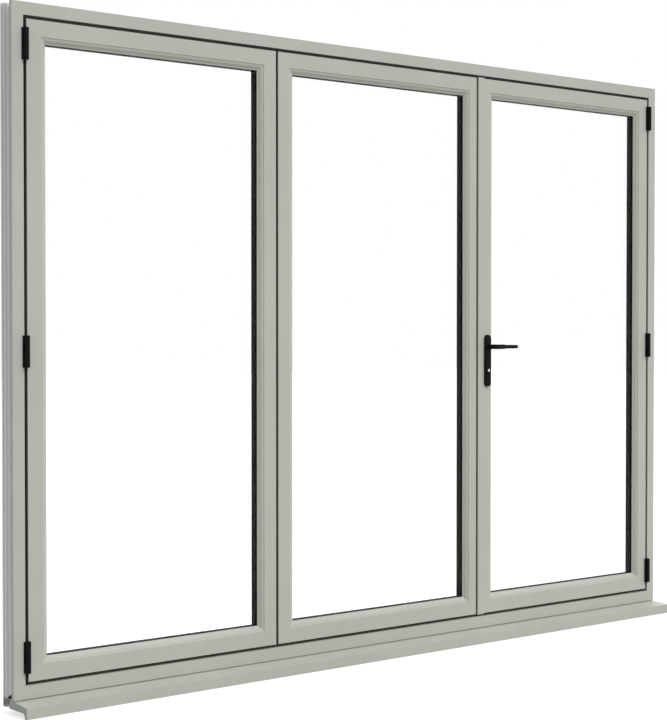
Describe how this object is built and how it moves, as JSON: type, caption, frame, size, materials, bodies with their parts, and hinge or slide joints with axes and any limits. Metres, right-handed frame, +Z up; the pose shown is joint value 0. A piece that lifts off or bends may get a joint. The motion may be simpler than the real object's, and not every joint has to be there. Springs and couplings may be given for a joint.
{
  "type": "bi-fold door",
  "caption": "Glazed aluminium folding door in a frame with a projecting sill; two leaves fold to one side and one opens as an access door with a lever handle.",
  "frame": {"origin": "middle of the underside of the sill, straight below the outer face of the frame", "axes": "+X to the right along the door seen from outside, +Y inwards through the door, +Z up"},
  "size_m": [3, 0.207, 2.1864],
  "materials": {
    "painted_aluminium": "satin powder coat",
    "end_cap": "satin powder coat",
    "clear_glass": "clear",
    "black_rubber": "matt",
    "black_spacer": "matt",
    "black_hardware": "satin black",
    "nickel_cylinder": "satin nickel",
    "bright_steel": "bright"
  },
  "bodies": {
    "door_set": {"fold_hinge_leaf_1_halves": "black_hardware", "fold_hinge_leaf_2_halves": "black_hardware", "head": "painted_aluminium", "leaf_1_bead": "painted_aluminium", "leaf_1_bottom_rail": "painted_aluminium", "leaf_1_gaskets": "black_rubber", "leaf_1_glass": "clear_glass", "leaf_1_left_stile": "painted_aluminium", "leaf_1_right_stile": "painted_aluminium", "leaf_1_spacer": "black_spacer", "leaf_1_top_rail": "painted_aluminium", "leaf_2_bead": "painted_aluminium", "leaf_2_bottom_rail": "painted_aluminium", "leaf_2_gaskets": "black_rubber", "leaf_2_glass": "clear_glass", "leaf_2_left_stile": "painted_aluminium", "leaf_2_right_stile": "painted_aluminium", "leaf_2_spacer": "black_spacer", "leaf_2_top_rail": "painted_aluminium", "left_hinge_frame_halves": "black_hardware", "left_hinge_leaf_halves": "black_hardware", "left_jamb": "painted_aluminium", "lock_keep": "bright_steel", "right_hinge_frame_halves": "black_hardware", "right_jamb": "painted_aluminium", "sill": "painted_aluminium", "sill_end_caps": "end_cap", "threshold": "painted_aluminium"},
    "access_leaf": {"leaf_3_bead": "painted_aluminium", "leaf_3_bottom_rail": "painted_aluminium", "leaf_3_gaskets": "black_rubber", "leaf_3_glass": "clear_glass", "leaf_3_left_stile": "painted_aluminium", "leaf_3_right_stile": "painted_aluminium", "leaf_3_spacer": "black_spacer", "leaf_3_top_rail": "painted_aluminium", "meeting_strip": "painted_aluminium", "right_hinge_leaf_halves": "black_hardware", "outside_backplate": "black_hardware", "inside_backplate": "black_hardware", "lock_cylinder": "nickel_cylinder", "lock_case": "bright_steel"},
    "handle": {"outside_lever": "black_hardware", "inside_lever": "black_hardware", "spindle": "bright_steel"}
  },
  "joints": [
    {"name": "access_leaf_hinge", "type": "hinge", "parent": "door_set", "child": "access_leaf", "pos_m": [1.4545, -0.0087, 1.0992], "axis": [0, 0, 1], "range_deg": [0, 90]},
    {"name": "handle_turn", "type": "hinge", "parent": "access_leaf", "child": "handle", "pos_m": [0.5212, 0, 1.0992], "axis": [0, 1, 0], "range_deg": [0, 45], "stiffness_Nm_per_rad": 1.2, "springref_deg": -28.65}
  ]
}
